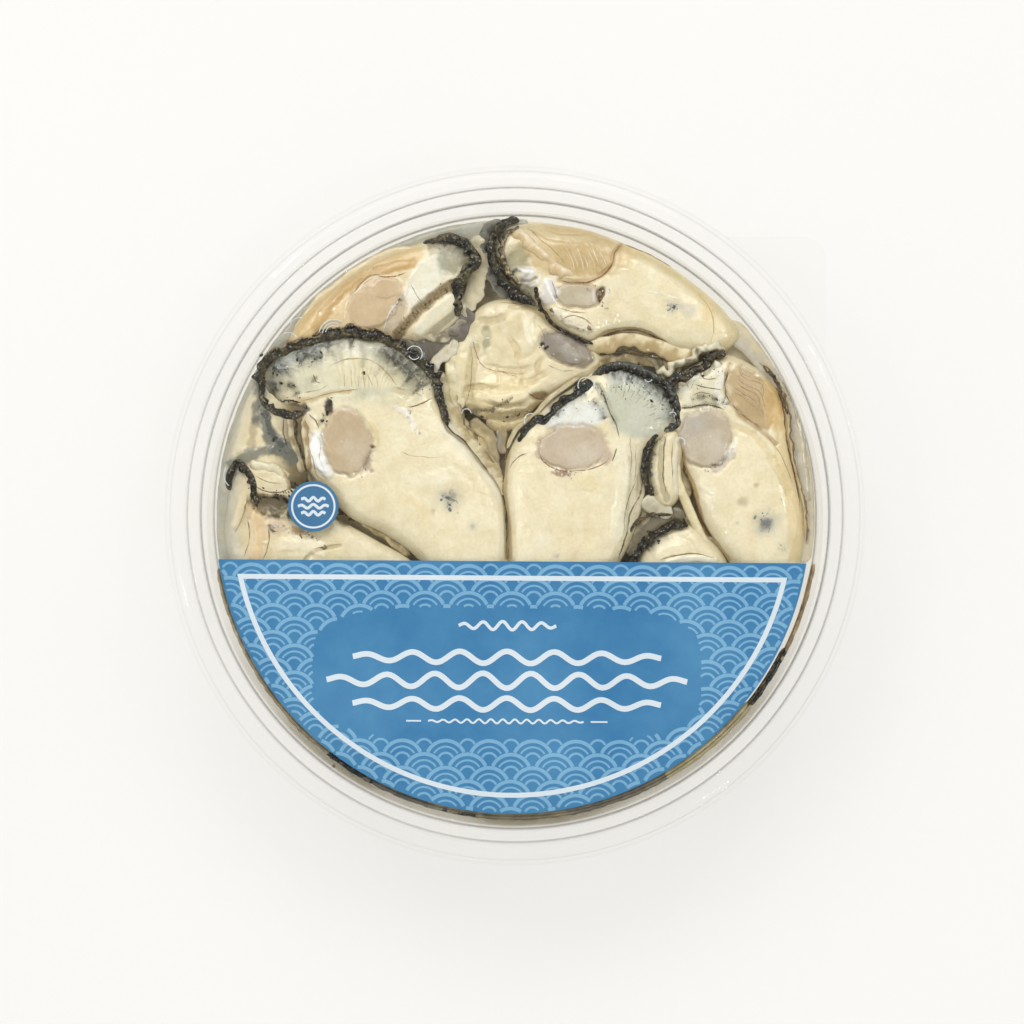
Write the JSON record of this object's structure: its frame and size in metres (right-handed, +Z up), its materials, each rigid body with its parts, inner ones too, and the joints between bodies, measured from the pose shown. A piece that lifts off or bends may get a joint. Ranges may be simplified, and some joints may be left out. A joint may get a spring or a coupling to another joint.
{
  "type": "tub of shucked raw oysters",
  "caption": "Round clear tub packed with shucked raw oysters in their liquid, shut by a clear dished lid with a corner pull tab and a half-moon label.",
  "frame": {"origin": "on the table, under the middle of the tub", "axes": "+Z up through the lid; the label's half of the lid lies towards -Y, and the pull tab points between +X and +Y"},
  "size_m": [0.15, 0.15, 0.038],
  "materials": {
    "tub_sheet": "gloss",
    "lid_sheet": "gloss",
    "label_film": "satin",
    "oyster_flesh": "satin"
  },
  "bodies": {
    "root": {"tub": "tub_sheet", "lid": "lid_sheet", "label": "label_film", "badge": "label_film", "oysters": "oyster_flesh"}
  },
  "joints": []
}
